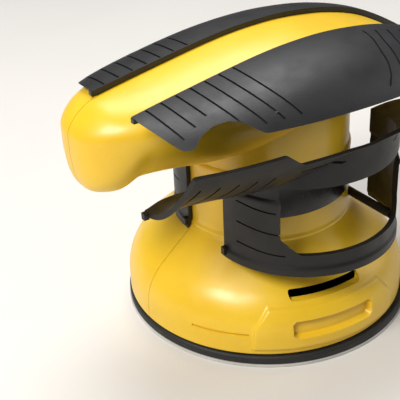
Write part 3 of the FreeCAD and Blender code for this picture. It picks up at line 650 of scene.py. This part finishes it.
def noise(tree, where, scale, detail=3.0, roughness=0.55):
    values = {"Vector": where, "Scale": scale, "Detail": detail, "Roughness": roughness}
    return add(tree, "ShaderNodeTexNoise", values).outputs["Fac"]


def between(tree, value, low, high, out_low, out_high):
    made = add(
        tree,
        "ShaderNodeMapRange",
        {"Value": value, "From Min": low, "From Max": high, "To Min": out_low, "To Max": out_high},
    )
    return made.outputs["Result"]


def blend_colour(tree, factor, first, second):
    made = add(tree, "ShaderNodeMix", {"Factor": factor}, data_type="RGBA")
    for socket, value in (("A", first), ("B", second)):
        target = next(s for s in made.inputs if s.name == socket and s.type == "RGBA")
        if isinstance(value, bpy.types.NodeSocket):
            tree.links.new(value, target)
        else:
            target.default_value = (*value, 1)
    return next(s for s in made.outputs if s.type == "RGBA")


def moulded(name, base, light, dark, roughness, grain, grain_depth, wave_depth, wear, **sockets):
    """A moulded surface: mottled colour, fine grain, slow waviness and paler rubbed edges."""
    material, tree, principled = shader(name, base, roughness, **sockets)
    where = add(tree, "ShaderNodeTexCoord").outputs["Object"]
    mottle = between(tree, noise(tree, where, 38.0, 5.0), 0.3, 0.7, 0.0, 1.0)
    speck = between(tree, noise(tree, where, 900.0, 2.0), 0.35, 0.65, 0.0, 1.0)
    colour = blend_colour(tree, mottle, dark, light)
    colour = blend_colour(tree, between(tree, speck, 0, 1, 0.0, 0.35), colour, base)
    edge = add(tree, "ShaderNodeNewGeometry").outputs["Pointiness"]
    rubbed = add(
        tree,
        "ShaderNodeMath",
        {0: between(tree, edge, 0.53, 0.6, 0.0, 1.0), 1: between(tree, mottle, 0.2, 0.9, 0.2, 1.0)},
        operation="MULTIPLY",
    ).outputs[0]
    pale = tuple(min(1.0, c * 1.25 + wear) for c in light)
    colour = blend_colour(tree, between(tree, rubbed, 0, 1, 0, 0.5), colour, pale)
    tree.links.new(colour, principled.inputs["Base Color"])
    polish = between(tree, noise(tree, where, 120.0, 4.0), 0.3, 0.7, roughness * 0.86, roughness * 1.16)
    tree.links.new(polish, principled.inputs["Roughness"])
    height = noise(tree, where, grain, 2.0)
    fine = add(tree, "ShaderNodeBump", {"Height": height, "Strength": 1.0, "Distance": grain_depth * MM})
    slow = add(
        tree,
        "ShaderNodeBump",
        {
            "Height": noise(tree, where, 45.0, 2.0),
            "Strength": 1.0,
            "Distance": wave_depth * MM,
            "Normal": fine.outputs[0],
        },
    )
    tree.links.new(slow.outputs[0], principled.inputs["Normal"])
    return material


def make_materials():
    return {
        "casing_yellow": moulded(
            "yellow_abs", (0.80, 0.51, 0.022), (0.83, 0.54, 0.026), (0.75, 0.46, 0.017),
            0.36, 1500.0, 0.010, 0.05, 0.02,
            Coat_Weight=0.12, Coat_Roughness=0.25,
        ),
        "grip_rubber": moulded(
            "grained_grip_rubber", (0.012, 0.0122, 0.0135), (0.016, 0.0163, 0.0178), (0.008, 0.0082, 0.0092),
            0.47, 1100.0, 0.05, 0.06, 0.012, Specular_IOR_Level=0.5,
        ),
        "guard_black": moulded(
            "guard_rubber", (0.0075, 0.0068, 0.006), (0.0105, 0.0096, 0.0084), (0.0052, 0.0047, 0.0042),
            0.48, 1300.0, 0.03, 0.05, 0.01, Specular_IOR_Level=0.38,
        ),
        "badge_black": moulded(
            "badge_gloss", (0.006, 0.006, 0.0065), (0.008, 0.008, 0.0085), (0.0045, 0.0045, 0.005),
            0.28, 1600.0, 0.004, 0.02, 0.01,
        ),
        "pad_rubber": moulded(
            "pad_urethane", (0.010, 0.0105, 0.011), (0.014, 0.0145, 0.015), (0.007, 0.0075, 0.008),
            0.62, 800.0, 0.05, 0.06, 0.02,
        ),
        "abrasive": moulded(
            "abrasive_disc", (0.50, 0.49, 0.46), (0.58, 0.57, 0.54), (0.40, 0.39, 0.36),
            0.85, 2200.0, 0.12, 0.05, 0.05,
        ),
        "steel": moulded(
            "turned_steel", (0.60, 0.60, 0.62), (0.64, 0.64, 0.66), (0.52, 0.52, 0.55),
            0.30, 1800.0, 0.004, 0.01, 0.05,
            Metallic=1.0,
        ),
        "zinc_casting": moulded(
            "zinc_casting", (0.50, 0.51, 0.53), (0.56, 0.57, 0.59), (0.42, 0.43, 0.45),
            0.48, 900.0, 0.03, 0.05, 0.05,
            Metallic=1.0,
        ),
        "lamination": moulded(
            "stacked_sheet", (0.26, 0.27, 0.29), (0.32, 0.33, 0.35), (0.20, 0.20, 0.22),
            0.45, 1400.0, 0.02, 0.02, 0.04,
            Metallic=0.9,
        ),
        "copper": moulded(
            "enamelled_wire", (0.55, 0.20, 0.07), (0.62, 0.25, 0.10), (0.42, 0.14, 0.05),
            0.35, 1500.0, 0.06, 0.05, 0.03,
            Metallic=0.8,
        ),
        "commutator_copper": moulded(
            "commutator_copper", (0.66, 0.34, 0.18), (0.72, 0.40, 0.22), (0.50, 0.24, 0.12),
            0.32, 1200.0, 0.01, 0.02, 0.03,
            Metallic=1.0,
        ),
        "carbon": moulded(
            "pressed_carbon", (0.030, 0.030, 0.031), (0.04, 0.04, 0.042), (0.02, 0.02, 0.021),
            0.6, 1500.0, 0.02, 0.03, 0.02,
        ),
        "brass_part": moulded(
            "pressed_brass", (0.62, 0.43, 0.14), (0.68, 0.48, 0.18), (0.5, 0.33, 0.1),
            0.32, 1300.0, 0.01, 0.03, 0.03,
            Metallic=1.0,
        ),
        "nylon_black": moulded(
            "filled_nylon", (0.025, 0.025, 0.028), (0.032, 0.032, 0.035), (0.018, 0.018, 0.02),
            0.5, 1200.0, 0.02, 0.04, 0.02,
        ),
        "nylon_grey": moulded(
            "moulded_nylon", (0.16, 0.165, 0.17), (0.19, 0.195, 0.2), (0.12, 0.125, 0.13),
            0.5, 1200.0, 0.02, 0.04, 0.03,
        ),
    }


materials = make_materials()
slot_of = {part["node"]: part["material_slot"] for part in frame["record"]["subparts"]}


def stand_in(obj, node, bevel=0.0):
    """The finished piece takes the CAD node's place, body and material."""
    body = next(b for b, members in frame["record"]["behaviour"]["bodies"].items() if node in members)
    obj.data.materials.clear()
    obj.data.materials.append(materials[slot_of[node]])
    if bevel:
        modifier = obj.modifiers.new("rounded_edges", "BEVEL")
        modifier.width = bevel * MM
        modifier.segments = 2
        modifier.limit_method = "ANGLE"
        modifier.angle_limit = math.radians(50)
        modifier.use_clamp_overlap = True
    normals_by_angle(obj)
    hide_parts(node)
    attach(obj, body)
    return obj


# ---------------------------------------------------------------- pad and disc

ORBIT = 1.25
PAD_RADIUS, DISC_THICK, PAD_RIM, PAD_TOP = 62.5, 1.2, 4.8, 10.0


def turned(name, profile, count):
    """A solid of revolution about the pad's axis; the profile runs from bottom to top."""
    rings = []
    for r, z in profile:
        rings.append([(ORBIT + r * math.cos(a), r * math.sin(a), z) for a in evenly(count)])
    return lofted(name, rings)


def pad_pieces():
    holes = []
    for k in range(8):
        a = 2 * math.pi * k / 8
        rings = []
        for z in (-3, 14):
            cx, cy = ORBIT + 32.5 * math.cos(a), 32.5 * math.sin(a)
            rings.append([(cx + 4.5 * math.cos(b), cy + 4.5 * math.sin(b), z) for b in evenly(40)])
        holes.append(lofted("hole", rings))
    drills = join(holes, "drills")
    r = PAD_RADIUS
    sheet = [(r - 0.12, 0), (r, 0.12), (r, DISC_THICK - 0.15), (r - 0.15, DISC_THICK)]
    disc = turned("sanding_disc_sheet", sheet, 256)
    edge = r - 0.3
    profile = [(edge - 0.35, DISC_THICK), (edge, DISC_THICK + 0.35), (edge, PAD_RIM - 1.3)]
    rim = 1.2
    for a in np.linspace(0, 1.57, 7):
        profile.append((edge - rim + rim * math.cos(a), PAD_RIM - rim + rim * math.sin(a)))
    profile += [(edge - 5.5, PAD_RIM), (edge - 7.0, PAD_RIM + 1.6), (edge - 9.0, PAD_TOP)]
    pad = turned("backing_pad_body", profile, 256)
    hub = [[(ORBIT + rr * math.cos(a), rr * math.sin(a), z) for a in evenly(64)] for rr, z in
           ((7.5, -1), (7.5, 5.0), (3.0, 5.0), (3.0, 20.0))]
    combine(pad, lofted("bore", hub), "DIFFERENCE")
    combine(disc, copy_of(drills, "disc_drills"), "DIFFERENCE")
    combine(pad, drills, "DIFFERENCE")
    return disc, pad


# ---------------------------------------------------------------- assemble

near_shell, far_shell = casing()
stand_in(near_shell, "casing_near")
stand_in(far_shell, "casing_far")
layer = cover_layer()
for kind in ("upper", "lower"):
    near, far = covers(kind, layer)
    stand_in(near, f"{kind}_grip_near")
    stand_in(far, f"{kind}_grip_far")
bpy.data.objects.remove(layer)
stand_in(plate_blank(0), "badge_plate")
disc, pad = pad_pieces()
stand_in(disc, "sanding_disc")
stand_in(pad, "backing_pad")

for name, obj in frame["nodes"].items():
    obj.data.materials.clear()
    obj.data.materials.append(materials[slot_of[name]])

# ---------------------------------------------------------------- floor, lights and camera


def floor_material():
    material, tree, principled = shader("pale_floor", (0.74, 0.72, 0.69), 0.55)
    where = add(tree, "ShaderNodeTexCoord").outputs["Object"]
    tone = blend_colour(tree, noise(tree, where, 6.0, 4.0), (0.70, 0.68, 0.65), (0.78, 0.76, 0.73))
    tree.links.new(tone, principled.inputs["Base Color"])
    return material


FAR = 3000
floor_corners = [(-FAR, -FAR, 0), (FAR, -FAR, 0), (FAR, FAR, 0), (-FAR, FAR, 0)]
floor = mesh_object("floor", floor_corners, [(0, 1, 2, 3)])
floor.data.materials.append(floor_material())


def area_light(name, place, target, width, height, power, colour=(1, 1, 1)):
    data = bpy.data.lights.new(name, "AREA")
    data.shape = "RECTANGLE"
    data.size, data.size_y = width, height
    data.energy = power
    data.color = colour
    light = bpy.data.objects.new(name, data)
    bpy.context.scene.collection.objects.link(light)
    light.location = place
    light.rotation_euler = (Vector(target) - Vector(place)).to_track_quat("-Z", "Y").to_euler()
    return light


CENTRE = (0, 0, 0.07)
area_light("key_softbox", (-0.75, -0.25, 0.85), CENTRE, 0.5, 0.4, 12.5, (1.0, 0.97, 0.92))
area_light("top_softbox", (0.15, 0.35, 1.0), CENTRE, 0.7, 0.5, 8.0)
area_light("right_fill", (0.9, -0.35, 0.5), CENTRE, 0.5, 0.7, 2.2, (1.0, 0.97, 0.93))

world = bpy.data.worlds.new("studio")
world.use_nodes = True
world.node_tree.nodes["Background"].inputs["Color"].default_value = (0.95, 0.96, 1.0, 1)
world.node_tree.nodes["Background"].inputs["Strength"].default_value = 0.13
bpy.context.scene.world = world

CAMERA_PLACE = Vector((-204.0, -274.4, 236.3))
CAMERA_RIGHT = Vector((0.83507, -0.54867, -0.04024))
CAMERA_BACK = Vector((-0.46117, -0.73803, 0.49258))

bpy.context.scene.view_settings.view_transform = "Standard"

camera_data = bpy.data.cameras.new("camera")
camera_data.lens = 81.0
camera_data.sensor_width = 36.0
camera_data.clip_start = 0.01
camera = bpy.data.objects.new("camera", camera_data)
bpy.context.scene.collection.objects.link(camera)
back = CAMERA_BACK.normalized()
right = (CAMERA_RIGHT - back * CAMERA_RIGHT.dot(back)).normalized()
up = back.cross(right)
camera.matrix_world = Matrix.Translation(CAMERA_PLACE * MM) @ Matrix((right, up, back)).transposed().to_4x4()
bpy.context.scene.camera = camera
